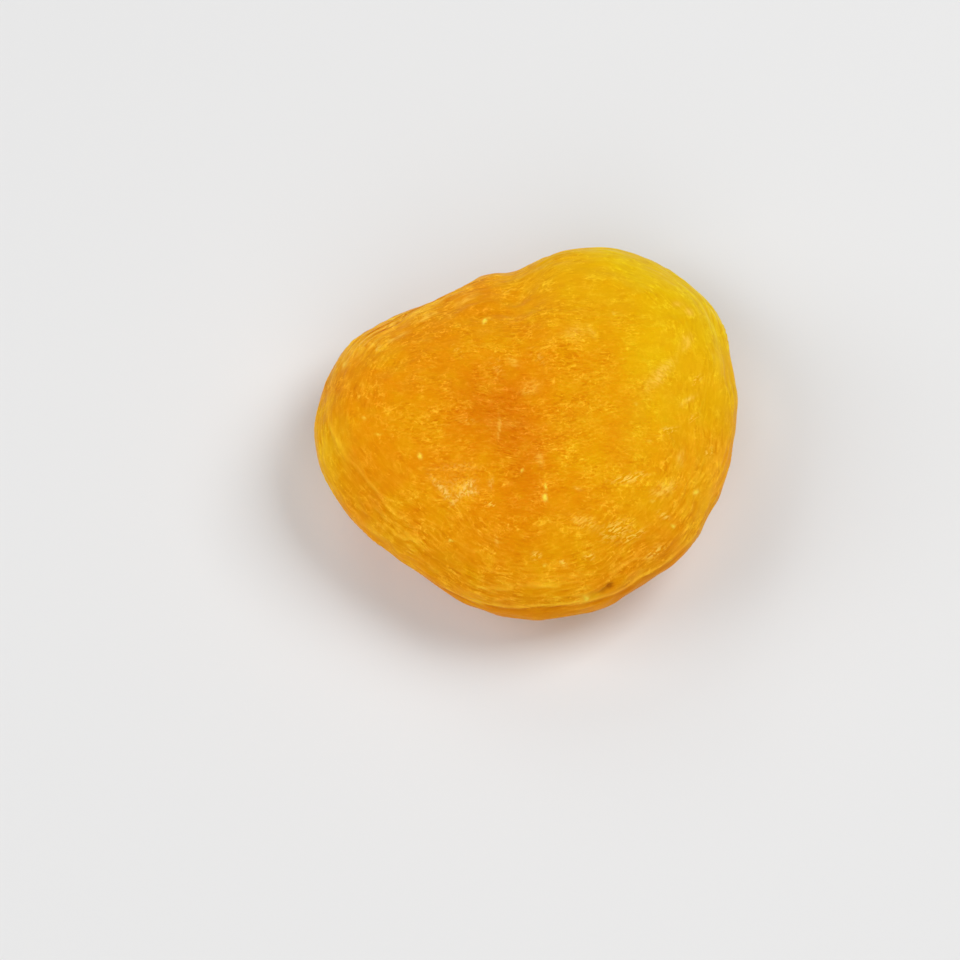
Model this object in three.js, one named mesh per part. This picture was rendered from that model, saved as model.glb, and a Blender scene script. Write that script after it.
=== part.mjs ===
// A whole dried apricot: stoned, pressed flat and lying on its back.
// Millimetres, +Z up. The origin is the middle of the bounding box's underside, on the surface it rests on.
// +X runs across its longest extent and +Y towards the stalk end.
import * as THREE from "three";
import { ImprovedNoise } from "three/addons/math/ImprovedNoise.js";
import { mergeVertices } from "three/addons/utils/BufferGeometryUtils.js";

// Driving dimensions
const WIDTH = 39.6; // longest extent of the outline, along X, before wrinkles stand proud of it
const CROWN_RISE = 6.6; // upper face above the rim's line
const BACK_DROP = 6.3; // underside below it
const REST_CUT = 0.27; // depth pressed flat where it rests
const RIM_SQUARENESS = 3.0; // 2 is an ellipse in section, and higher is a fuller pillow
const FACET_DETAIL = 23; // an icosahedron's edge is cut into one more piece than this

// Outline from above, as landmarks round the rim, anticlockwise from the right
const OUTLINE = [
  [19.7, 1.8],
  [19.4, 7.7],
  [18.2, 12.7],
  [15.0, 16.5],
  [10.1, 19.7],
  [4.4, 19.8],
  [1.6, 18.7],
  [-0.3, 17.6],
  [-1.5, 17.25],
  [-3.4, 17.05],
  [-5.2, 16.3],
  [-8.7, 14.2],
  [-14.4, 11.2],
  [-18.0, 7.1],
  [-19.8, 0.9],
  [-19.2, -3.6],
  [-16.3, -8.7],
  [-10.2, -14.0],
  [-3.5, -17.7],
  [3.1, -18.2],
  [9.2, -16.2],
  [14.8, -11.8],
  [18.2, -5.7],
];

// Soft forms of the upper face: [x, y, half length, half width, turn in degrees, height]
const CROWN_FORMS = [
  [-10.0, 1.0, 8.5, 7.0, -12, 0.7], // left cheek
  [10.0, 5.5, 9.5, 7.5, 55, 1.0], // right cheek
  [4.5, -9.5, 8.0, 4.5, 15, 0.5], // swelling above the blossom end
  [0.4, 0.8, 6.5, 5.0, 100, -1.2], // where the empty stone hollow has sunk in
  [-1.6, 13.0, 4.5, 2.6, 100, -0.8], // seam, running down from the stalk end
  [8.2, -15.6, 1.5, 0.9, 40, -0.6], // pucker at the blossom end
];

// Soft forms of the underside, as rises away from the surface it rests on
const BACK_FORMS = [
  [-12.5, 5.5, 5.0, 3.4, 35, 0.9],
  [11.5, -7.0, 5.5, 3.2, -40, 1.0],
  [10.0, 9.5, 3.6, 5.5, 20, 0.7],
  [-7.5, -10.5, 5.0, 2.4, -30, 0.8],
  [-1.0, 13.0, 2.2, 4.5, 8, 0.9], // seam on the back
];

// Folds in the skin, as lines round the rim.
// Each point of a line is degrees round and millimetres up from the rim, along the skin.
const FOLDS = [
  {
    // lips of the slit that the stone left by
    line: [
      [186, -2.2],
      [215, -1.8],
      [236, -1.0],
      [252, 0.5],
      [262, 1.1],
      [274, 1.7],
      [287, 1.4],
      [300, 1.0],
      [312, 1.3],
      [330, 1.6],
      [348, 1.4],
    ],
    halfWidth: 0.9,
    depth: 0.18,
  },
  {
    // edge of the left shoulder
    line: [
      [150, 2.2],
      [162, 1.7],
      [170, 1.5],
      [186, 2.5],
      [199, 3.8],
      [222, 3.2],
    ],
    halfWidth: 0.9,
    depth: 0.15,
  },
  { line: [[98, 1.8], [130, 2.4], [156, 1.2]], halfWidth: 1.0, depth: 0.25 },
  { line: [[6, 2.2], [40, 3.0], [78, 2.0]], halfWidth: 1.0, depth: 0.15 },
  { line: [[16, -2.0], [70, -2.6], [110, -2.0], [152, -2.4]], halfWidth: 1.2, depth: 0.45 },
  { line: [[184, -4.4], [230, -4.6], [270, -3.4], [304, -3.8]], halfWidth: 1.2, depth: 0.4 },
];

const DEGREE = Math.PI / 180;
const TABLE_STEPS = 720;
const FOLD_FADE = 14; // degrees over which a fold dies out at each end
const noise = new ImprovedNoise();

const smoothstep = THREE.MathUtils.smoothstep;

// Radius of the outline in the direction of each degree step
function outlineTable() {
  const curve = new THREE.CatmullRomCurve3(
    OUTLINE.map(([x, y]) => new THREE.Vector3(x, y, 0)),
    true,
    "centripetal",
  );
  const around = curve
    .getPoints(4 * TABLE_STEPS)
    .map((p) => ({ angle: Math.atan2(p.y, p.x), radius: Math.hypot(p.x, p.y) }))
    .sort((a, b) => a.angle - b.angle);
  const widest = Math.max(...OUTLINE.map(([x]) => x)) - Math.min(...OUTLINE.map(([x]) => x));
  const scale = WIDTH / widest;
  let next = 0;
  return Array.from({ length: TABLE_STEPS + 1 }, (_, i) => {
    const angle = -Math.PI + (2 * Math.PI * i) / TABLE_STEPS;
    while (next < around.length - 1 && around[next].angle < angle) next += 1;
    return around[next].radius * scale;
  });
}

// Half of the pillow's section, from the middle of a face to the rim.
// Each row gives its share of the face's area, so that facets can be spread evenly.
function sectionTable(rise) {
  const rows = [{ share: 0, out: 0, height: 1, arc: 0 }];
  const mean = WIDTH / 2;
  for (let i = 1; i <= TABLE_STEPS; i += 1) {
    const turn = ((i / TABLE_STEPS) * Math.PI) / 2;
    const out = Math.sin(turn) ** (2 / RIM_SQUARENESS);
    const height = Math.cos(turn);
    const last = rows[i - 1];
    const step = Math.hypot((out - last.out) * mean, (height - last.height) * rise);
    rows.push({ share: last.share + step * (out + last.out), out, height, arc: last.arc + step });
  }
  const { share, arc } = rows[TABLE_STEPS];
  return rows.map((row) => ({ ...row, share: row.share / share, arc: arc - row.arc }));
}

// The section where it has covered a given share of its face
function sectionAt(table, share) {
  let low = 0;
  let high = TABLE_STEPS;
  while (high - low > 1) {
    const middle = (low + high) >> 1;
    if (table[middle].share < share) low = middle;
    else high = middle;
  }
  const part = (share - table[low].share) / (table[high].share - table[low].share);
  const mix = (key) => THREE.MathUtils.lerp(table[low][key], table[high][key], part);
  return { out: mix("out"), height: mix("height"), arc: mix("arc") };
}

function radiusAt(table, angle) {
  const place = ((angle + Math.PI) / (2 * Math.PI)) * TABLE_STEPS;
  const low = Math.min(Math.floor(place), TABLE_STEPS - 1);
  return THREE.MathUtils.lerp(table[low], table[low + 1], place - low);
}

// Sum of the soft forms at a place seen from above
function formsAt(forms, x, y) {
  return forms.reduce((sum, [cx, cy, halfLength, halfWidth, turn, height]) => {
    const c = Math.cos(turn * DEGREE);
    const s = Math.sin(turn * DEGREE);
    const along = ((x - cx) * c + (y - cy) * s) / halfLength;
    const across = ((y - cy) * c - (x - cx) * s) / halfWidth;
    return sum + height * Math.exp(-along * along - across * across);
  }, 0);
}

// Height of a fold's line above the rim, in a direction
function lineHeight(line, degrees) {
  const after = line.findIndex(([at]) => at >= degrees);
  if (after <= 0) return line.at(after)[1];
  const [from, low] = line[after - 1];
  const [to, high] = line[after];
  return THREE.MathUtils.mapLinear(degrees, from, to, low, high);
}

// Depth of the folds at a place round the rim, where arc is the way up from it along the skin
function foldsAt(angle, arc) {
  const degrees = (angle / DEGREE + 360) % 360;
  const wander = 0.3 * noise.noise(Math.cos(angle) * 4, Math.sin(angle) * 4, 2.5);
  return FOLDS.reduce((sum, { line, halfWidth, depth }) => {
    const start = line[0][0];
    const end = line.at(-1)[0];
    const length =
      smoothstep(degrees, start, start + FOLD_FADE) * (1 - smoothstep(degrees, end - FOLD_FADE, end));
    const across = (arc - lineHeight(line, degrees) - wander) / halfWidth;
    return sum + depth * length * Math.exp(-across * across);
  }, 0);
}

// Drying wrinkles: ridges that run round the fruit near its rim and mostly across it in the middle.
// Arc and height go through 0 at the rim, so that the ridges run on over it.
function wrinklesAt(angle, out, arc, height, x, y) {
  const warp = 1.6 * noise.noise(x / 7, y / 7, height * 1.5);
  const ringed = noise.noise(Math.cos(angle) * 3.2, Math.sin(angle) * 3.2, arc / 3 + warp);
  const crossed = noise.noise(x / 9, y / 2.6 + warp, Math.sign(height) * 9.7);
  const toRim = smoothstep(out, 0.35, 0.75);
  const ridges = (value) => 0.5 - Math.abs(value) * 2.2;
  const patch = 0.65 + 0.6 * noise.noise(x / 6, y / 6, height * 2 + 20);
  return patch * (0.34 * toRim * ridges(ringed) + 0.14 * (1 - toRim) * ridges(crossed));
}

// Slow lumps that stop the pillow from being regular
function lumpsAt(x, y, side) {
  return 0.75 * noise.noise(x / 11, y / 11, side * 2.3 + 4.5) + 0.35 * noise.noise(x / 5, y / 5, side * 4.1);
}

function apricotGeometry() {
  const outline = outlineTable();
  const crownSection = sectionTable(CROWN_RISE);
  const backSection = sectionTable(BACK_DROP);

  const ball = new THREE.IcosahedronGeometry(1, FACET_DETAIL);
  ball.deleteAttribute("normal");
  ball.deleteAttribute("uv");
  const geometry = mergeVertices(ball, 1e-5);
  const position = geometry.getAttribute("position");
  const relief = [];

  for (let i = 0; i < position.count; i += 1) {
    const direction = new THREE.Vector3().fromBufferAttribute(position, i).normalize();
    const angle = Math.atan2(direction.y, direction.x);
    const side = direction.z >= 0 ? 1 : -1;
    const section = sectionAt(side > 0 ? crownSection : backSection, 1 - Math.abs(direction.z));
    const radius = radiusAt(outline, angle) * section.out;
    const x = Math.cos(angle) * radius;
    const y = Math.sin(angle) * radius;

    const fade = 1 - section.out ** 6; // the forms die out at the rim
    const across = (2 * x) / WIDTH;
    const along = (2 * y) / WIDTH;
    const bend = 0.9 * across ** 2 - 0.7 * along ** 2 + 0.5 * noise.noise(x / 16, y / 16, 0.5);
    const rise =
      side > 0
        ? CROWN_RISE * section.height + fade * (formsAt(CROWN_FORMS, x, y) + lumpsAt(x, y, 1))
        : -BACK_DROP * section.height + fade * (formsAt(BACK_FORMS, x, y) + 0.6 * lumpsAt(x, y, -1));
    position.setXYZ(i, x, y, rise + bend * (side > 0 ? 1 : smoothstep(section.out, 0.3, 0.8)));

    const onBack = side > 0 ? 1 : smoothstep(section.out, 0.25, 0.5);
    const arc = side * section.arc;
    const wrinkles = wrinklesAt(angle, section.out, arc, side * section.height, x, y);
    relief.push(onBack * wrinkles - foldsAt(angle, arc));
  }

  geometry.computeVertexNormals();
  const normal = geometry.getAttribute("normal");
  for (let i = 0; i < position.count; i += 1) {
    const point = new THREE.Vector3().fromBufferAttribute(position, i);
    point.addScaledVector(new THREE.Vector3().fromBufferAttribute(normal, i), relief[i]);
    point.toArray(position.array, 3 * i);
  }

  restOnFlat(geometry);
  geometry.computeVertexNormals();
  return geometry;
}

// Presses the lowest part flat, and sets the origin under the middle of the bounding box
function restOnFlat(geometry) {
  const position = geometry.getAttribute("position");
  geometry.computeBoundingBox();
  const { min, max } = geometry.boundingBox;
  const ground = min.z + REST_CUT;
  for (let i = 0; i < position.count; i += 1) {
    position.setXYZ(
      i,
      position.getX(i) - (min.x + max.x) / 2,
      position.getY(i) - (min.y + max.y) / 2,
      Math.max(position.getZ(i) - ground, 0),
    );
  }
}

const skin = new THREE.MeshStandardMaterial({ color: 0xe99a0c, roughness: 0.45, metalness: 0 });
const apricot = new THREE.Mesh(apricotGeometry(), skin);
apricot.name = "apricot";

const part = new THREE.Group();
part.add(apricot);

export default part;
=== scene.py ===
# A whole dried apricot on a pale floor, in soft studio light.
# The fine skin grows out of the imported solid: its facets are rounded, then wrinkled, folded and marked.
import math
from types import SimpleNamespace

import bpy
import numpy as np
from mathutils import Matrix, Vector, noise


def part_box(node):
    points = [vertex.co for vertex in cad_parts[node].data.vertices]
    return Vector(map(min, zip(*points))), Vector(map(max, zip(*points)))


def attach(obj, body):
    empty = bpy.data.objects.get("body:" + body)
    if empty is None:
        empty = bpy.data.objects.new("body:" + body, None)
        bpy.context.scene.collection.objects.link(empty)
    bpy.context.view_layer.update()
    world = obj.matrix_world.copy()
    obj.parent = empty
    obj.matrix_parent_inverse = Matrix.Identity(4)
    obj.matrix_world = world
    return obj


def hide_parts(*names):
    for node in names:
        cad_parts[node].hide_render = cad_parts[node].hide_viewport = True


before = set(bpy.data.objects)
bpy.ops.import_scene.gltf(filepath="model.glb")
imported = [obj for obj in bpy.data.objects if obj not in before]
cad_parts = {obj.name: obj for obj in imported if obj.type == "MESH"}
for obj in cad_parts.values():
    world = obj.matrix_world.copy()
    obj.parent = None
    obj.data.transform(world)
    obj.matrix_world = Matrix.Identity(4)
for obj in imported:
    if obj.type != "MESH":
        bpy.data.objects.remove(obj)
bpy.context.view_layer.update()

NODE = "apricot"
MM = 0.001
DEGREE = math.pi / 180

# Camera, set against the photograph's frame
PHOTO_SIDE = 960  # pixels
PHOTO_CENTRE = (526.0, 425.3)  # pixel where the middle of the fruit is seen
PIXEL = 0.0943 * MM  # what one of its pixels spans at the fruit
ELEVATION = 64 * DEGREE
LENS = 130  # millimetres, on a sensor 36 wide
SENSOR = 36
DISTANCE = PIXEL * PHOTO_SIDE / SENSOR * LENS  # from the camera to the fruit

# Skin. Lengths are millimetres.
ROUNDINGS = 2  # each one makes four faces of one
BINS = 360  # directions in which the rim's place is kept
RIM_EDGE = 0.15  # points this near to the farthest one are the rim
RIM_MEAN = 9  # directions over which its height is evened out
MEAN_REACH = 19.0  # from the middle to the rim
RIM_LINES = [(12.0, 0.9, 0.09), (7.0, 0.55, 0.06)]  # along, across and height
RIM_BUNDLE = (108, 168)  # degrees round, where lines lie side by side along the upper edge
RIPPLE = 0.75  # from one of those to the next
STROKES = [(3.4, 1.1, 0.05), (1.7, 0.6, 0.035)]
SHAKE = 0.18  # how far the edges of marks wander

# Folds as lines round the rim: (degrees round, up from the rim along the skin) points, then the crease's
# half width and depth, how far the skin above it stands proud, and how strongly its edge's painted highlight
# and its crease's painted shade show
FRONT_LIP = [
    (186, -2.2),
    (215, -1.8),
    (236, -1.0),
    (252, 0.5),
    (262, 1.1),
    (274, 1.7),
    (287, 1.4),
    (300, 1.0),
    (312, 0.8),
    (328, 0.7),
]
LEFT_SHOULDER = [
    (150, 2.2),
    (162, 1.9),
    (170, 2.0),
    (178, 2.6),
    (186, 3.3),
    (194, 4.0),
    (199, 4.0),
    (204, 4.4),
    (211, 4.4),
    (230, 3.7),
]
FOLDS = [(FRONT_LIP, 0.3, 0.02, 0.07, 1.0), (LEFT_SHOULDER, 0.25, 0.01, 0.03, 0.4)]

# Marks on the upper face, listed as (x, y, half length, half width, turn in degrees, strength).
# x and y are the pixel of the photograph's frame where a mark is seen. Its sizes are as seen from there.
# The glints are painted highlights: pale strokes laid over the skin's colour, with painted shade between
# them.
GLINTS = [
    (629.5, 478, 1.32, 0.30, 12, 1.1),
    (664, 489, 1.04, 0.47, 25, 0.7),
    (664, 515, 0.47, 0.28, -30, 1.0),
    (584, 522, 1.13, 0.57, -20, 0.45),
    (616, 530, 1.13, 0.66, 25, 1.0),
    (634, 536, 0.94, 0.31, 30, 1.2),
    (655, 552, 0.85, 0.38, 30, 1.0),
    (536, 555.5, 0.38, 0.28, 20, 0.9),
    (562, 563, 0.38, 0.19, -45, 0.9),
    (589, 557, 0.38, 0.28, 0, 0.9),
    (668, 431, 0.66, 0.28, 20, 0.8),
    (709, 452, 0.38, 0.28, 45, 1.0),
    (697, 380, 0.47, 0.19, 45, 0.6),
    (693, 418, 0.47, 0.19, 50, 0.6),
    (530, 388, 0.75, 0.47, 30, 0.35),
    (497, 366, 0.85, 0.47, -60, 0.25),
    (538, 357, 0.94, 0.38, -45, 0.25),
    (509, 291, 0.57, 0.19, 10, 0.6),
    (457, 350, 0.66, 0.24, -50, 0.4),
    (491, 504, 0.38, 0.24, -30, 0.7),
    (468, 421, 0.75, 0.28, 0, 0.25),
    (378, 349, 0.66, 0.28, 20, 0.5),
]
# Soft pale patches laid over the skin's colour
PALE_PATCHES = [
    (686, 342, 0.66, 0.47, 60, 0.5),
    (677, 304, 0.38, 0.24, 0, 0.7),
    (689, 312, 0.47, 0.24, -30, 0.5),
    (661, 374, 1.51, 0.47, 48, 0.55),
    (532, 388, 0.85, 0.57, 20, 0.15),
    (499, 427, 1.04, 0.12, 90, 0.4),
    (508, 424, 1.32, 0.38, 0, 0.1),
    (575, 332, 1.04, 0.57, 10, 0.25),
    (591, 332, 0.57, 0.19, -60, 0.3),
    (514, 362, 0.57, 0.28, -40, 0.3),
    (688, 400, 0.66, 0.24, 35, 0.6),
    (681, 458, 0.66, 0.28, 80, 0.4),
    (664, 489, 0.85, 0.47, 25, 0.4),
    (578, 489, 0.38, 0.14, -15, 0.6),
    (540, 460, 0.57, 0.28, 100, 0.4),
    (584, 522, 0.85, 0.47, -20, 0.2),
    (397, 338, 0.94, 0.15, 28, 0.5),
    (426, 317, 1.13, 0.17, 25, 0.45),
    (466, 300, 1.13, 0.24, 25, 0.35),
    (344, 365, 0.57, 0.15, 80, 0.6),
    (497, 541, 0.38, 0.12, 100, 0.4),
]
FLECKS = [
    (420, 456, 0.26, 0.11, 100, 1.0),
    (545, 498, 0.28, 0.16, 95, 1.2),
    (545, 487, 0.24, 0.09, 95, 0.8),
    (485, 321, 0.26, 0.11, 50, 1.2),
    (695, 492, 0.25, 0.11, 45, 0.8),
    (586, 597, 0.19, 0.19, 0, 1.0),
    (378, 434, 0.23, 0.08, 0, 0.55),
    (652, 501, 0.15, 0.11, 0, 0.7),
    (673, 526, 0.16, 0.12, 0, 0.7),
    (451, 541, 0.19, 0.09, 0, 0.9),
    (545, 566, 0.12, 0.10, 0, 0.9),
    (522, 471, 0.21, 0.11, 60, 0.6),
    (363, 418, 0.15, 0.09, -20, 0.5),
    (614, 313, 0.15, 0.11, 0, 0.35),
    (636, 403, 0.17, 0.11, -20, 0.35),
    (649, 442, 0.23, 0.10, 10, 0.35),
]
# A V-shaped scuff: its raised knots are relief, their whitish colour a painted highlight, the gaps between
# them painted shade.
SCUFFS_AND_GLINTS = [
    (443, 490, 1.32, 0.25, -52, 0.8),
    (461, 493, 1.13, 0.17, 53, 0.8),
    (472.5, 483, 0.47, 0.17, 20, 0.6),
    (469.5, 493, 0.75, 0.14, 5, 0.6),
    (471, 489, 0.38, 0.47, 30, 0.7),
    (456, 467, 1.70, 0.33, 2, 0.15),
    (491, 483, 0.47, 0.19, 80, 0.35),
    (456, 486, 1.32, 0.85, 0, 0.15),
]
BLOSSOM_END = [
    (603.5, 589.5, 0.73, 0.14, 27, 0.5),
    (610, 586, 0.28, 0.19, 27, 0.8),
]
BLOSSOM_HALO = [
    (595, 594, 0.94, 0.33, 22, 0.7),
]

# Thin raised lines on the upper face, as such pixels too, each with a painted highlight along it
LIP_LINES = [
    [(529, 584), (540, 585.5), (549, 586), (560, 585.5)],
    [(477, 586), (495, 588.5), (513, 588.5)],
    [(495, 598), (513, 599)],
    [(611, 573), (622, 566), (633, 559), (645, 557)],
    [(384.5, 524.5), (397, 535), (420.5, 541)],
]
LIP_LINE_WIDTH = 0.18  # half of one, as seen

# Colours, linear
ORANGE = (0.80, 0.283, 0.002)
YELLOW = (0.84, 0.50, 0.002)
DEEP_ORANGE = (0.71, 0.165, 0.001)
# painted shade: the band under the front lip, which faces away from the light
UNDER_LIP_SHADE = (0.76, 0.24, 0.001)
CATCH = (0.12, 0.29, 0.6)  # what a lit stroke adds, as a share of the skin's own colour
HAZE = (0.0, 0.0, 0.008)  # and what it adds to any colour
PALE = (1.0, 0.60, 0.07)
WHITISH = (1.0, 0.60, 0.12)
BRIGHT = (1.0, 0.74, 0.07)
BLOSSOM_BROWN = (0.34, 0.05, 0.001)
GREENISH = (0.74, 0.42, 0.002)
GLOSS = (1.0, 0.82, 0.08)  # tint of the skin's gloss
FLOOR = (0.8, 0.8, 0.8)

# Where the flesh is riper: place, reach to each side, and how much of yellow it adds
RIPENESS = [
    ((15.5, 11.5, 10.0), (20.0, 18.0, 13.0), 1.0),
    ((13.0, -3.0, 11.0), (10.0, 14.0, 12.0), 0.40),
    ((-20.0, -4.0, 7.0), (7.0, 12.0, 8.0), 0.45),
    ((8.0, 18.0, 7.0), (13.0, 8.0, 8.0), 0.60),
    ((3.0, -16.0, 8.0), (14.0, 6.0, 8.0), 0.10),
    ((0.0, 1.0, -2.0), (22.0, 22.0, 7.0), 0.25),
    ((5.5, -8.5, 12.0), (5.5, 8.0, 8.0), 0.2),
    ((-9.5, -6.5, 10.0), (7.0, 6.0, 8.0), -0.12),
]
# Where it is deeper in colour, and by what share
HOLLOWS = [
    ((-2.8, -1.5, 12.5), (6.0, 7.5, 9.0), 0.75),
    ((-0.3, -7.0, 12.5), (3.8, 8.0, 9.0), 0.55),
]

# Where the skin has fewer fine strokes: centre, reach and share
CALM = [
    ((17.0, -2.0, 8.0), (8.0, 11.0, 9.0), 0.55),
    ((-13.0, -6.0, 10.0), (9.0, 9.0, 8.0), 0.70),
    ((4.0, 11.0, 10.0), (8.0, 6.0, 8.0), 0.35),
]

HATCH_TURN = -35 * DEGREE  # of the short strokes over the upper face
BUMP = 0.06 * MM
GLOW_DEPTH = 1.2 * MM  # how far light travels under the skin

# Studio, in metres
FLOOR_SIZE = 6
FLOOR_GAP = 0.02 * MM  # from the floor up to the fruit
# Name, place, size and power in watts
LIGHTS = [
    ("key", (0.35, 0.15, 0.48), 0.35, 2.1),
    ("back light", (-0.2, 0.5, 0.35), 0.25, 0.5),
    ("front fill", (0.0, -0.5, 0.4), 0.5, 1.6),
    ("left fill", (-0.5, 0.0, 0.35), 0.4, 1.45),
]
SKY = 0.15  # strength of the white light from all sides


def smoothstep(low, high, value):
    t = np.clip((value - low) / (high - low), 0, 1)
    return t * t * (3 - 2 * t)


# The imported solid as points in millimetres

def solid_of(name):
    """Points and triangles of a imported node, with the points that its faces share merged."""
    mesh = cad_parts[name].data
    mesh.calc_loop_triangles()
    points = np.array([v.co for v in mesh.vertices]) / MM
    faces = np.array([t.vertices for t in mesh.loop_triangles])
    _, first, merged = np.unique(np.round(points, 3), axis=0, return_index=True, return_inverse=True)
    return points[first], merged.reshape(-1)[faces]


def rounded(points, faces):
    """One step of Loop subdivision: four triangles for each one, on a rounder surface."""
    pairs = np.sort(faces[:, [[0, 1], [1, 2], [2, 0]]].reshape(-1, 2), axis=1)
    edges, edge_of = np.unique(pairs, axis=0, return_inverse=True)
    edge_of = edge_of.reshape(-1)
    wings = np.zeros((len(edges), 3))
    np.add.at(wings, edge_of, points[faces[:, [2, 0, 1]].reshape(-1)])
    middles = 0.375 * points[edges].sum(1) + 0.125 * wings

    ring = np.zeros_like(points)
    count = np.zeros(len(points))
    for a, b in ((0, 1), (1, 0)):
        np.add.at(ring, edges[:, a], points[edges[:, b]])
        np.add.at(count, edges[:, a], 1)
    pull = 3 / (8 * count)
    kept = (1 - count * pull)[:, None] * points + pull[:, None] * ring

    m = edge_of.reshape(-1, 3) + len(points)
    corners = [np.stack([faces[:, i], m[:, i], m[:, i - 1]], axis=1) for i in range(3)]
    return np.concatenate([kept, middles]), np.concatenate([*corners, m])


def normals_of(points, faces):
    a, b, c = (points[faces[:, i]] for i in range(3))
    flat = np.cross(b - a, c - a)
    normals = np.zeros_like(points)
    for i in range(3):
        np.add.at(normals, faces[:, i], flat)
    return normals / np.linalg.norm(normals, axis=1, keepdims=True)


# The photograph's view

def viewpoint():
    """Where the camera stands, in metres, and its directions right, up and back."""
    low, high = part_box(NODE)
    back = Vector((0, -math.cos(ELEVATION), math.sin(ELEVATION)))
    right = Vector((1, 0, 0))
    up = back.cross(right)
    aim = (low + high) / 2
    aim = aim - right * (PHOTO_CENTRE[0] - PHOTO_SIDE / 2) * PIXEL
    aim = aim + up * (PHOTO_CENTRE[1] - PHOTO_SIDE / 2) * PIXEL
    return aim + back * DISTANCE, right, up, back


def pixels_of(points):
    """The pixels of the photograph's frame where points, in millimetres, are seen."""
    eye, right, up, back = (np.array(v) for v in viewpoint())
    rays = points * MM - eye
    pixels_per_metre = DISTANCE / PIXEL / -(rays @ back)
    across = PHOTO_SIDE / 2 + pixels_per_metre * (rays @ right)
    down = PHOTO_SIDE / 2 - pixels_per_metre * (rays @ up)
    return np.stack([across, down], axis=1)


# Places on the skin

class Skin:
    """The rounded solid, and where each of its points lies.

    angle is its direction from the middle, out its share of the way to the rim, side 1 on the upper
    face and -1 on the lower, and arc its distance up from the rim along the skin. seen is the pixel of
    the photograph's frame where it is seen, shaken a little so that marks have uneven edges, and shown
    is whether it is on the upper face and turned to the camera.
    """

    def __init__(self, points, faces):
        self.points = points
        self.faces = faces
        self.normals = normals_of(points, faces)
        x, y, z = points.T
        self.angle = np.arctan2(y, x)
        distance = np.hypot(x, y)
        turn = 2 * math.pi
        bins = np.arange(BINS) * turn / BINS - math.pi
        at = np.floor((self.angle + math.pi) / turn * BINS).astype(int) % BINS
        reach = np.zeros(BINS)
        np.maximum.at(reach, at, distance)
        level = np.zeros(BINS)
        for i in range(BINS):
            edge = (at == i) & (distance > reach[i] - RIM_EDGE)
            level[i] = z[edge].mean()
        mean = np.ones(RIM_MEAN) / RIM_MEAN
        level = np.convolve(np.tile(level, 3), mean, "same")[BINS : 2 * BINS]
        rim_reach = np.interp(self.angle, bins, reach, period=turn)
        rim_level = np.interp(self.angle, bins, level, period=turn)
        self.out = distance / rim_reach
        self.side = np.where(z > rim_level, 1.0, -1.0)
        self.arc = self.side * np.hypot(rim_reach - distance, z - rim_level)
        shake = np.stack([self.rough(0.7, 1.0), self.rough(0.7, 4.0), np.zeros(len(points))], axis=1)
        self.seen = pixels_of(points + SHAKE * shake)
        self.shown = (z > rim_level) & (self.normals @ np.array(viewpoint()[3]) > 0)

    def ringed(self, along, across, seed=0.0):
        """Coordinates of a pattern that runs round the rim, with its size in millimetres."""
        turn = MEAN_REACH / along
        x, y = np.cos(self.angle) * turn, np.sin(self.angle) * turn
        return np.stack([x + seed, y, self.arc / across], axis=1)

    def crossed(self, along, across, seed=0.0):
        """Coordinates of a pattern that runs from left to right over the faces."""
        x, y, _ = self.points.T
        return np.stack([x / along, y / across, self.side * 3.7 + seed], axis=1)

    def rough(self, size, seed=0.0):
        return noise_at(self.points / size + seed)

    def above(self, line):
        """Height over a line round the rim, and 1 where the line runs, fading out past its ends."""
        degrees = (self.angle / DEGREE) % 360
        where, height = zip(*line)
        ends = smoothstep(where[0], where[0] + 12, degrees) * smoothstep(where[-1], where[-1] - 12, degrees)
        return self.arc - np.interp(degrees, where, height), ends

    def mark(self, x, y, half_length, half_width, turn, strength):
        """Its strength round the pixel where its middle is seen, falling to 0 around it."""
        c, s = math.cos(turn * DEGREE), math.sin(turn * DEGREE)
        dx, dy = (self.seen[:, 0] - x) * PIXEL / MM, (y - self.seen[:, 1]) * PIXEL / MM
        u, v = (dx * c + dy * s) / half_length, (dy * c - dx * s) / half_width
        return strength * np.exp(-u * u - v * v) * self.shown

    def marks(self, places):
        return np.clip(1.4 * sum(self.mark(*place) for place in places), 0, 1)

    def along(self, line, half_width):
        """1 on a line seen from pixel to pixel, falling to 0 beside it."""
        near = np.full(len(self.seen), np.inf)
        for start, end in zip(np.array(line[:-1]), np.array(line[1:])):
            run = end - start
            share = np.clip((self.seen - start) @ run / (run @ run), 0, 1)
            near = np.minimum(near, np.linalg.norm(self.seen - start - share[:, None] * run, axis=1))
        return np.exp(-((near * PIXEL / MM / half_width) ** 2)) * self.shown


def noise_at(coordinates):
    return np.array([noise.noise(Vector(c)) for c in coordinates])


# Relief

def rim_lines(skin, warp):
    """Long drying lines round the rim: their height, how much painted highlight their tops get, and where a
    bundle of them runs.
    """
    degrees = (skin.angle / DEGREE) % 360
    start, end = RIM_BUNDLE
    bundle = smoothstep(start, start + 15, degrees) * smoothstep(end, end - 15, degrees)
    bundle *= smoothstep(4.5, 2.5, np.abs(skin.arc - 1.5))
    wander = 0.5 * warp + 0.2 * skin.rough(1.8)
    ripples = 0.5 + 0.5 * np.cos(2 * math.pi * (skin.arc + wander) / RIPPLE)
    lift = 0.12 * bundle * ripples
    top_highlight = np.zeros(len(skin.points))
    near = smoothstep(8.0, 3.0, np.abs(skin.arc + 1.0))
    for along, across, height in RIM_LINES:
        place = skin.ringed(along, across, across)
        place[:, 2] += 1.3 * warp
        ridges = np.exp(-((noise_at(place) / 0.15) ** 2))
        where = np.clip(0.5 + 1.6 * skin.rough(5.0, across * 9), 0.05, 1.2)
        share = near * where
        lift += height * share * ridges
        top_highlight = np.maximum(top_highlight, share * ridges)
    return lift, top_highlight, bundle


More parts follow.
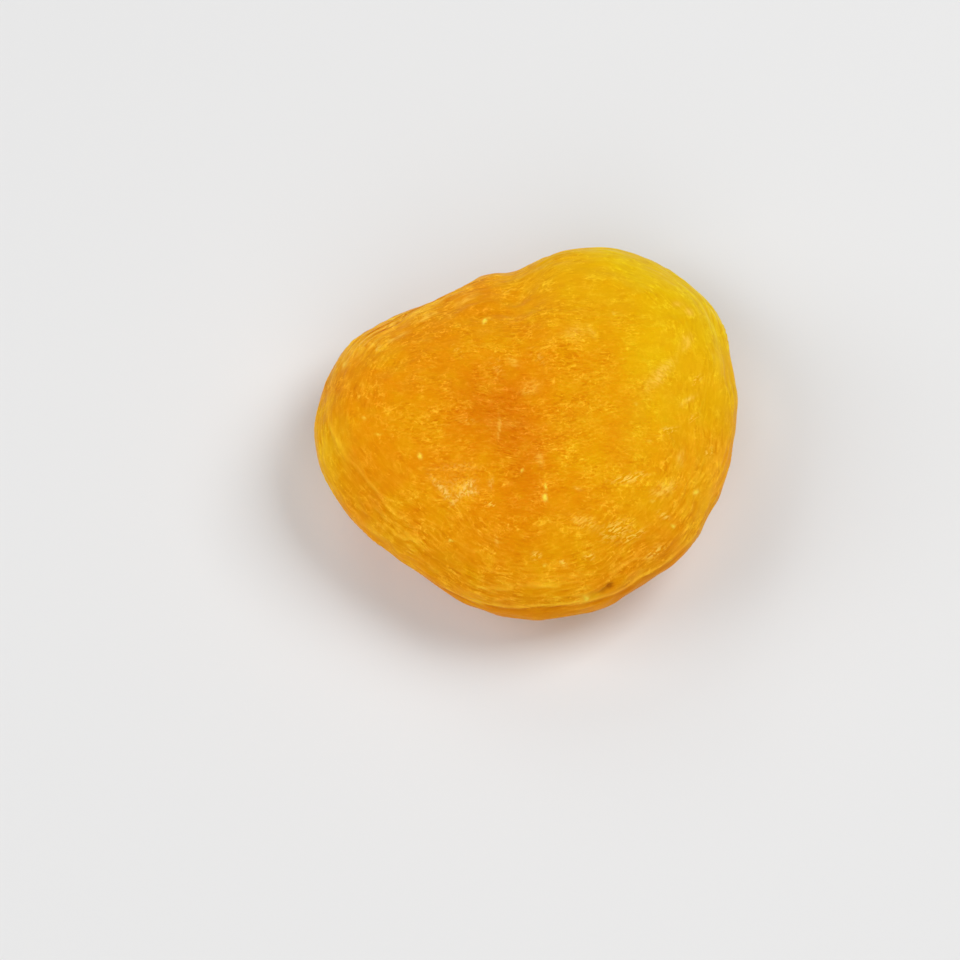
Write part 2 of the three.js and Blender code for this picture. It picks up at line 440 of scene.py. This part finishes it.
def strokes(skin, warp):
    """Short soft ridges over the faces, in patches."""
    lift = np.zeros(len(skin.points))
    to_rim = smoothstep(0.5, 0.85, skin.out)
    for along, across, height in STROKES:
        place = skin.crossed(along, across, across)
        place[:, 1] += 1.2 * warp
        round_rim = skin.ringed(along * 1.3, across, across)
        round_rim[:, 2] += 1.2 * warp
        field = (1 - to_rim) * noise_at(place) + to_rim * noise_at(round_rim)
        where = np.clip(0.55 + 1.4 * skin.rough(3.6, across * 5), 0.1, 1.2)
        lift += height * where * smoothstep(-0.1, 0.5, field)
    return lift


def fine_skin():
    """The rounded solid with its relief, and what its material reads."""
    points, faces = solid_of(NODE)
    for _ in range(ROUNDINGS):
        points, faces = rounded(points, faces)
    skin = Skin(points, faces)
    warp = skin.rough(3.6)

    lift, lines, bundle = rim_lines(skin, warp)
    lift += strokes(skin, warp)

    crease = np.zeros(len(points))
    edge = np.zeros(len(points))
    for line, width, depth, proud, shine in FOLDS:
        above, ends = skin.above(line)
        above = above + 0.15 * skin.rough(1.6, 3.0)
        # The crease gets painted shade and the edge above it a painted highlight.
        valley = ends * np.exp(-(((above + 0.3) / width) ** 2))
        lift += ends * proud * smoothstep(-0.35, 0.25, above) * np.exp(-np.clip(above, 0, None) / 1.2)
        lift -= depth * valley
        crease = np.maximum(crease, shine * valley)
        edge = np.maximum(edge, shine * ends * np.exp(-(((above - 0.1) / 0.18) ** 2)))

    # Painted shade: a band under the front lip is coloured darker.
    above, ends = skin.above(FRONT_LIP)
    shaded_band = ends * smoothstep(0.0, -0.5, above) * smoothstep(-6.0, -3.0, above)

    glints, pale_patches, flecks, scuff_and_glint = (skin.marks(places) for places in (GLINTS, PALE_PATCHES, FLECKS, SCUFFS_AND_GLINTS))
    knots = np.exp(-((skin.rough(0.75, 5.0) / 0.16) ** 2))
    lift += 0.06 * glints * knots + 0.10 * flecks + 0.12 * scuff_and_glint * knots

    wavy = 0.8 * np.max([skin.along(line, LIP_LINE_WIDTH) for line in LIP_LINES], axis=0)
    lift += 0.06 * wavy

    blossom = skin.marks(BLOSSOM_END)
    halo = skin.marks(BLOSSOM_HALO)
    lift -= 0.2 * blossom

    resting = smoothstep(0.05, 0.9, points[:, 2])
    skin.points = points + (resting * lift)[:, None] * skin.normals
    # The crease and the band under the front lip carry painted shade, the edges and the lines' tops painted
    # highlights.
    marks = {
        "out": skin.out,
        "lines": lines,
        "bundle": bundle,
        "crease": crease,
        "edge": np.maximum(edge, wavy),
        "shaded_band": shaded_band,
        "glints": glints,
        "pale_patches": pale_patches,
        "flecks": flecks,
        "scuff_and_glint": scuff_and_glint,
        "blossom": blossom,
        "halo": halo,
    }
    return skin, marks


def skin_object(skin, marks):
    mesh = bpy.data.meshes.new("apricot_fruit")
    mesh.from_pydata((skin.points * MM).tolist(), [], skin.faces.tolist())
    mesh.shade_smooth()
    for name, values in marks.items():
        mesh.attributes.new(name, "FLOAT", "POINT").data.foreach_set("value", values.astype(np.float32))
    flow = mesh.attributes.new("flow", "FLOAT_VECTOR", "POINT")
    flow.data.foreach_set("vector", skin.ringed(1.0, 1.0).astype(np.float32).ravel())
    fruit = bpy.data.objects.new("apricot_fruit", mesh)
    bpy.context.scene.collection.objects.link(fruit)
    return fruit


# Materials

def node(tree, kind, inputs=None, **settings):
    """A shader node, with its inputs given as values or as other nodes' outputs."""
    made = tree.nodes.new("ShaderNode" + kind)
    for name, value in settings.items():
        setattr(made, name, value)
    for name, value in (inputs or {}).items():
        if isinstance(value, bpy.types.NodeSocket):
            tree.links.new(value, made.inputs[name])
        else:
            made.inputs[name].default_value = value
    return made


def combine(tree, operation, a, b):
    return node(tree, "Math", {0: a, 1: b}, operation=operation).outputs[0]


def ramped(tree, value, low, high, start=0.0, end=1.0):
    """The value mapped smoothly from low..high to start..end."""
    inputs = {"Value": value, "From Min": low, "From Max": high, "To Min": start, "To Max": end}
    return node(tree, "MapRange", inputs, interpolation_type="SMOOTHSTEP").outputs["Result"]


def blended(tree, share, a, b):
    """Colour a with a share of colour b. Each is a colour or a node's output."""
    made = node(tree, "Mix", {"Factor": share}, data_type="RGBA")
    for socket, value in ((made.inputs[6], a), (made.inputs[7], b)):
        if isinstance(value, bpy.types.NodeSocket):
            tree.links.new(value, socket)
        else:
            socket.default_value = (*value, 1)
    return made.outputs[2]


def scaled(tree, vector, scale):
    return node(tree, "VectorMath", {0: vector, 1: scale}, operation="MULTIPLY").outputs[0]


def cloud(tree, vector, scale, detail=2.0, stretch=(1, 1, 1), curl=0.0):
    """Soft noise from 0 to 1. Scale is in features to the millimetre."""
    place = scaled(tree, vector, tuple(scale * s for s in stretch))
    inputs = {"Vector": place, "Scale": 1.0, "Detail": detail, "Distortion": curl}
    return node(tree, "TexNoise", inputs).outputs["Fac"]


def patch(tree, place, centre, reach):
    """1 at a centre and 0 beyond its reach in x, y and z, in millimetres."""
    shifted = node(tree, "VectorMath", {0: place, 1: centre}, operation="SUBTRACT").outputs[0]
    shares = node(tree, "VectorMath", {0: shifted, 1: reach}, operation="DIVIDE").outputs[0]
    distance = node(tree, "VectorMath", {0: shares}, operation="LENGTH").outputs["Value"]
    return ramped(tree, distance, 0.0, 1.0, 1.0, 0.0)


def attribute(tree, name, output="Fac"):
    return node(tree, "Attribute", attribute_name=name).outputs[output]


def spread(tree, place, patches):
    """Sum of what the patches add at a place."""
    value = 0.0
    for centre, reach, amount in patches:
        inputs = {0: patch(tree, place, centre, reach), 1: amount, 2: value}
        value = node(tree, "Math", inputs, operation="MULTIPLY_ADD").outputs[0]
    return value


def flesh_colour(tree, place):
    """Orange flesh, yellower where it is riper and deepest over the hollow. Also how ripe it is."""
    ripe = ramped(tree, cloud(tree, place, 0.17, 3.0), 0.3, 0.7, -0.1, 0.2)
    ripe = combine(tree, "ADD", ripe, spread(tree, place, RIPENESS))
    shares = [
        combine(tree, "MULTIPLY", patch(tree, place, centre, reach), amount)
        for centre, reach, amount in HOLLOWS
    ]
    flesh = blended(tree, ripe, ORANGE, YELLOW)
    return layered(tree, flesh, [(share, DEEP_ORANGE) for share in shares]), ripe


def hatched(tree, place):
    """Short strokes over the upper face that rise to the right."""
    turned = node(tree, "VectorRotate", {"Vector": place, "Angle": HATCH_TURN}, rotation_type="Z_AXIS")
    return cloud(tree, turned.outputs[0], 5.5, 1.0, (0.3, 1.0, 0.7), 0.6)


def streaked(tree, place, flow, to_rim, scale, detail):
    """Fine strokes that run across the faces in the middle and round the fruit near its rim."""
    over = cloud(tree, place, scale, detail, (0.4, 1.0, 1.0), 0.5)
    round_rim = cloud(tree, flow, scale, detail, (0.2, 0.2, 1.0), 0.2)
    return node(tree, "Mix", {"Factor": to_rim, 2: over, 3: round_rim}, data_type="FLOAT").outputs[0]


def veins(tree, field, breaks):
    """Thin curved lines where a field crosses its middle, kept where another is high."""
    off = combine(tree, "ABSOLUTE", combine(tree, "SUBTRACT", field, 0.5), 0.0)
    line = ramped(tree, off, 0.05, 0.01)
    return combine(tree, "MULTIPLY", line, ramped(tree, breaks, 0.48, 0.58))


def marked(tree, name, amount, pattern=None):
    """A mark's strength on the skin times an amount, broken up by a pattern."""
    share = combine(tree, "MULTIPLY", attribute(tree, name), amount)
    if pattern is None:
        return share
    return combine(tree, "MULTIPLY", share, pattern)


def swing(tree, pattern, weight):
    """A pattern's way above or below its middle."""
    inputs = {0: pattern, 1: weight, 2: -weight / 2}
    return node(tree, "Math", inputs, operation="MULTIPLY_ADD").outputs[0]


def total(tree, *parts):
    """Sum of the parts, each a value or a node's output."""
    value = parts[0]
    for part in parts[1:]:
        value = combine(tree, "ADD", value, part)
    return value


def layered(tree, colour, layers):
    """The colour with other colours laid over it, each by its own share."""
    for share, laid in layers:
        colour = blended(tree, share, colour, laid)
    return colour


def shone(tree, colour, shine):
    """The colour where the skin catches more light, or less where shine is under 0: painted light and shade.
    """
    tone = node(tree, "VectorMath", {0: shine, 1: CATCH, 2: (1, 1, 1)}, operation="MULTIPLY_ADD").outputs[0]
    toned = node(tree, "VectorMath", {0: colour, 1: tone}, operation="MULTIPLY").outputs[0]
    haze = scaled(tree, combine(tree, "MAXIMUM", shine, 0.0), HAZE)
    return node(tree, "VectorMath", {0: toned, 1: haze}, operation="ADD").outputs[0]


def skin_patterns(tree, place, ripe):
    """The patterns that break up the skin, by name."""
    bend = node(tree, "TexNoise", {"Vector": place, "Scale": 0.16, "Detail": 2.0}).outputs["Color"]
    bend = scaled(tree, bend, (1.6,) * 3)
    bent = node(tree, "VectorMath", {0: bend, 1: place}, operation="ADD").outputs[0]
    round_rim = attribute(tree, "flow", "Vector")
    flow = node(tree, "VectorMath", {0: bend, 1: round_rim}, operation="ADD").outputs[0]
    to_rim = ramped(tree, attribute(tree, "out"), 0.5, 0.85)

    calm = combine(tree, "MAXIMUM", spread(tree, place, CALM), attribute(tree, "shaded_band"))
    lively = ramped(tree, cloud(tree, place, 0.5, 2.0), 0.4, 0.6, 0.4, 1.1)
    lively = combine(tree, "MULTIPLY", lively, ramped(tree, ripe, 0.1, 0.9, 1.0, 0.55))
    lively = combine(tree, "MULTIPLY", lively, ramped(tree, calm, 0.0, 1.0, 1.0, 0.35))

    hatch = hatched(tree, place)
    knotted = cloud(tree, place, 4.0, 1.0)
    return SimpleNamespace(
        lively=lively,
        coarse=streaked(tree, bent, flow, to_rim, 1.5, 3.0),
        fine=streaked(tree, bent, flow, to_rim, 4.6, 1.0),
        lines=streaked(tree, bent, flow, to_rim, 1.7, 1.0),
        breaks=cloud(tree, bent, 1.4, 1.0),
        curls=cloud(tree, place, 2.0, 1.0, (1, 1, 1), 0.5),
        stripes=cloud(tree, flow, 2.0, 1.0, (0.08, 0.08, 1.0)),
        grooves=cloud(tree, flow, 2.4, 0.0, (0.1, 0.1, 1.0), 0.1),
        mottle=cloud(tree, bent, 0.75, 2.0, (0.7, 1.0, 1.0)),
        grain=cloud(tree, place, 7.0, 1.0),
        specks=ramped(tree, cloud(tree, place, 2.6, 1.0), 0.64, 0.7),
        sharp=ramped(tree, hatch, 0.50, 0.57),
        hollows=ramped(tree, hatch, 0.48, 0.38),
        knots=ramped(tree, knotted, 0.46, 0.54),
        gaps=ramped(tree, knotted, 0.46, 0.38),
    )


def skin_shine(tree, patterns):
    """How much more light the skin catches at a place than it does on the whole, as painted light and shade.
    """
    p = patterns
    fine_marks = total(
        tree,
        swing(tree, p.coarse, 1.8),
        swing(tree, p.fine, 3.3),
        swing(tree, p.grain, 0.9),
        combine(tree, "MULTIPLY", veins(tree, p.lines, p.breaks), 1.2),
        combine(tree, "MULTIPLY", veins(tree, p.curls, p.mottle), 0.7),
        p.specks,
    )
    return total(
        tree,
        swing(tree, p.mottle, 0.7),
        combine(tree, "MULTIPLY", fine_marks, p.lively),
        # painted light and shade: lit stripes and shaded grooves over the bundle of rim lines
        marked(tree, "bundle", 1.5, swing(tree, p.stripes, 5.0)),
        marked(tree, "bundle", -1.3, veins(tree, p.grooves, p.coarse)),
        # painted highlight on the tops of the rim lines
        attribute(tree, "lines"),
        # painted highlight on fold edges and lip lines, painted shade in the creases
        marked(tree, "edge", 1.7),
        marked(tree, "crease", -0.8),
        # painted shade between the glint strokes
        marked(tree, "glints", -0.4, p.hollows),
        # painted shade between the scuff's knots
        marked(tree, "scuff_and_glint", -1.2, p.gaps),
    )


def skin_colour(tree, place, flesh, patterns):
    """The flesh's colour with its tints, the painted light and shade of its fine strokes, and the marks that
    stand out.
    """
    p = patterns
    tint = ramped(tree, cloud(tree, place, 0.7, 3.0), 0.4, 0.75, 0.0, 0.12)
    # Painted shade on the band under the front lip; the bundle of rim lines is made paler.
    colour = layered(tree, flesh, [
        (marked(tree, "shaded_band", 0.7), UNDER_LIP_SHADE),
        (tint, YELLOW),
        (marked(tree, "bundle", 0.25), PALE),
    ])
    colour = shone(tree, colour, skin_shine(tree, patterns))
    return layered(tree, colour, [
        (marked(tree, "pale_patches", 0.9, ramped(tree, p.fine, 0.42, 0.58, 0.45, 1.3)), PALE),
        # painted highlights: the glints' pale strokes
        (marked(tree, "glints", 1.0, p.sharp), PALE),
        (attribute(tree, "flecks"), BRIGHT),
        (marked(tree, "scuff_and_glint", 0.35), PALE),
        # painted highlight: the scuff's whitish knots
        (marked(tree, "scuff_and_glint", 0.9, p.knots), WHITISH),
        (marked(tree, "halo", 0.35), GREENISH),
        (marked(tree, "blossom", 0.7), BLOSSOM_BROWN),
    ])


def skin_bump(tree, patterns):
    """Normals that are bent by the finest strokes, too small for the mesh."""
    p = patterns
    strokes = combine(tree, "ADD", p.coarse, combine(tree, "MULTIPLY", p.fine, 0.5))
    relief = total(
        tree,
        combine(tree, "MULTIPLY", strokes, p.lively),
        marked(tree, "glints", 0.2, p.sharp),
        marked(tree, "scuff_and_glint", 0.5, p.knots),
        combine(tree, "MULTIPLY", p.grain, 0.2),
    )
    return node(tree, "Bump", {"Strength": 1.0, "Distance": BUMP, "Height": relief}).outputs["Normal"]


def skin_material():
    material = bpy.data.materials.new("apricot_skin")
    material.use_nodes = True
    tree = material.node_tree
    metres = node(tree, "TexCoord").outputs["Object"]
    place = scaled(tree, metres, (1 / MM,) * 3)
    flesh, ripe = flesh_colour(tree, place)
    patterns = skin_patterns(tree, place, ripe)

    shader = tree.nodes["Principled BSDF"]
    tree.links.new(skin_colour(tree, place, flesh, patterns), shader.inputs["Base Color"])
    tree.links.new(skin_bump(tree, patterns), shader.inputs["Normal"])
    roughness = ramped(tree, cloud(tree, place, 0.5, 3.0), 0.3, 0.7, 0.38, 0.58)
    tree.links.new(roughness, shader.inputs["Roughness"])
    shader.inputs["Specular IOR Level"].default_value = 0.06
    shader.inputs["Specular Tint"].default_value = (*GLOSS, 1)
    shader.inputs["Subsurface Weight"].default_value = 0.3
    shader.inputs["Subsurface Radius"].default_value = (1.0, 0.4, 0.06)
    shader.inputs["Subsurface Scale"].default_value = GLOW_DEPTH
    return material


def floor_material():
    material = bpy.data.materials.new("floor")
    material.use_nodes = True
    shader = material.node_tree.nodes["Principled BSDF"]
    shader.inputs["Base Color"].default_value = (*FLOOR, 1)
    shader.inputs["Roughness"].default_value = 0.9
    return material


# Studio

def add_floor():
    bpy.ops.mesh.primitive_plane_add(size=FLOOR_SIZE, location=(0, 0, -FLOOR_GAP))
    floor = bpy.context.object
    floor.name = "floor"
    floor.data.materials.append(floor_material())


def add_light(name, place, size, power):
    data = bpy.data.lights.new(name, "AREA")
    data.size = size
    data.energy = power
    lamp = bpy.data.objects.new(name, data)
    lamp.location = place
    lamp.rotation_mode = "QUATERNION"
    lamp.rotation_quaternion = (-Vector(place)).to_track_quat("-Z", "Y")
    bpy.context.scene.collection.objects.link(lamp)


def add_world(strength):
    world = bpy.data.worlds.new("studio")
    world.use_nodes = True
    world.node_tree.nodes["Background"].inputs["Color"].default_value = (1, 1, 1, 1)
    world.node_tree.nodes["Background"].inputs["Strength"].default_value = strength
    bpy.context.scene.world = world


def add_camera():
    eye, _, _, back = viewpoint()
    data = bpy.data.cameras.new("camera")
    data.lens = LENS
    data.sensor_width = SENSOR
    data.clip_start = 0.01
    camera = bpy.data.objects.new("camera", data)
    camera.location = eye
    camera.rotation_mode = "QUATERNION"
    camera.rotation_quaternion = (-back).to_track_quat("-Z", "Y")
    bpy.context.scene.collection.objects.link(camera)
    bpy.context.scene.camera = camera


add_camera()
add_floor()
add_world(SKY)
for light in LIGHTS:
    add_light(*light)
bpy.context.scene.view_settings.view_transform = "Standard"

fruit = skin_object(*fine_skin())
fruit.data.materials.append(skin_material())
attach(fruit, "root")
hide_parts(NODE)
